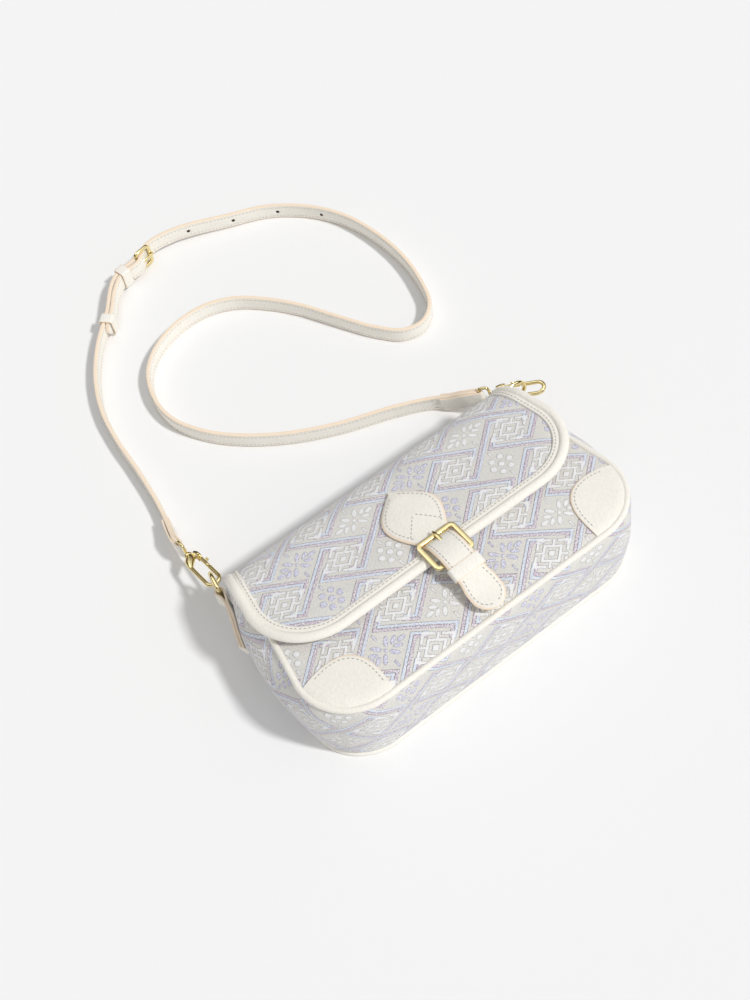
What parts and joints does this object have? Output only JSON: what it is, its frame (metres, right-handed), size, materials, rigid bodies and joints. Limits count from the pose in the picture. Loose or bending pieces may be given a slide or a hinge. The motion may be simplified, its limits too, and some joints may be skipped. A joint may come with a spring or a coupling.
{
  "type": "flap bag",
  "caption": "Small patterned flap bag with leather binding, a buckled snap closure, corner patches and a detachable buckled shoulder strap on swivel hooks.",
  "frame": {"origin": "middle of the back panel's outer face, half way between bottom seam and top fold", "axes": "+X across the bag to the right as seen from the front, +Y from the bottom to the top fold, +Z out of the front; the bag lies on its back"},
  "size_m": [0.2811, 0.4538, 0.0891],
  "materials": {
    "cloth": "woven, satin",
    "lining_cloth": "matt weave",
    "leather": "pebbled, satin",
    "gold_metal": "polished pale gold",
    "board": "matt"
  },
  "bodies": {
    "bag": {"back_panel": "cloth", "front_panel": "cloth", "gusset": "cloth", "lining": "lining_cloth", "base_board": "board", "mouth_trim": "leather", "front_piping": "leather", "rear_piping": "leather", "corner_patch_left": "leather", "corner_patch_right": "leather", "snap_socket": "gold_metal", "side_tab_left": "leather", "side_tab_right": "leather", "swivel_eye_left": "gold_metal", "swivel_eye_right": "gold_metal", "strap_short": "leather", "strap_long": "leather", "strap_keeper_fixed": "leather"},
    "flap": {"flap": "cloth", "flap_lining": "lining_cloth", "flap_binding": "leather", "closure_strap": "leather", "closure_chape": "leather", "snap_stud": "gold_metal"},
    "closure_buckle": {"closure_buckle": "gold_metal"},
    "closure_prong": {"closure_prong": "gold_metal"},
    "closure_keeper": {"closure_keeper": "leather"},
    "d_ring_left": {"d_ring_left": "gold_metal"},
    "d_ring_right": {"d_ring_right": "gold_metal"},
    "hook_left": {"hook_left": "gold_metal"},
    "hook_right": {"hook_right": "gold_metal"},
    "gate_left": {"gate_left": "gold_metal"},
    "gate_right": {"gate_right": "gold_metal"},
    "strap_buckle": {"strap_buckle": "gold_metal"},
    "strap_prong": {"strap_prong": "gold_metal"},
    "strap_keeper": {"strap_keeper_sliding": "leather"}
  },
  "joints": [
    {"name": "flap_open", "type": "hinge", "parent": "bag", "child": "flap", "pos_m": [0, 0.07194, 0.03389], "axis": [-1, 0, 0], "range_deg": [0, 100]},
    {"name": "closure_buckle_tilt", "type": "hinge", "parent": "flap", "child": "closure_buckle", "pos_m": [0, -0.03014, 0.08217], "axis": [1, 0, 0], "range_deg": [0, 15]},
    {"name": "closure_prong_tilt", "type": "hinge", "parent": "closure_buckle", "child": "closure_prong", "pos_m": [0, -0.03014, 0.08217], "axis": [1, 0, 0], "range_deg": [0, 60]},
    {"name": "closure_keeper_slide", "type": "slide", "parent": "flap", "child": "closure_keeper", "axis": [0, -0.9663, -0.2574], "range_m": [0, 0.003]},
    {"name": "d_ring_left_swing", "type": "hinge", "parent": "bag", "child": "d_ring_left", "pos_m": [-0.11784, 0.07005, 0.03051], "axis": [0, 0, 1], "range_deg": [-1, 3]},
    {"name": "d_ring_right_swing", "type": "hinge", "parent": "bag", "child": "d_ring_right", "pos_m": [0.11784, 0.07005, 0.03051], "axis": [0, 0, 1], "range_deg": [-1, 1.5]},
    {"name": "hook_left_swivel", "type": "hinge", "parent": "bag", "child": "hook_left", "pos_m": [-0.11658, 0.11757, 0.01873], "axis": [0.0508, -0.969, 0.2419], "range_deg": [-12, 12]},
    {"name": "hook_right_swivel", "type": "hinge", "parent": "bag", "child": "hook_right", "pos_m": [0.11844, 0.08398, 0.02113], "axis": [0.7323, -0.6366, 0.2419], "range_deg": [-12, 4]},
    {"name": "gate_left_press", "type": "hinge", "parent": "hook_left", "child": "gate_left", "pos_m": [-0.11148, 0.11084, 0.02047], "axis": [0.0127, -0.2416, -0.9703], "range_deg": [0, 16], "stiffness_Nm_per_rad": 0.02, "springref_deg": -5.73},
    {"name": "gate_right_press", "type": "hinge", "parent": "hook_right", "child": "gate_right", "pos_m": [0.12683, 0.08298, 0.02287], "axis": [0.1826, -0.1587, -0.9703], "range_deg": [0, 16], "stiffness_Nm_per_rad": 0.02, "springref_deg": -5.73},
    {"name": "strap_buckle_tilt", "type": "hinge", "parent": "bag", "child": "strap_buckle", "pos_m": [-0.00438, 0.36876, 0.0108], "axis": [0, 0, -1], "range_deg": [0, 12]},
    {"name": "strap_prong_tilt", "type": "hinge", "parent": "strap_buckle", "child": "strap_prong", "pos_m": [-0.00438, 0.36876, 0.0108], "axis": [0, 0, -1], "range_deg": [0, 60]},
    {"name": "strap_keeper_slide", "type": "slide", "parent": "bag", "child": "strap_keeper", "axis": [0.7182, 0.6949, 0.0378], "range_m": [-0.006, 0.006]}
  ]
}
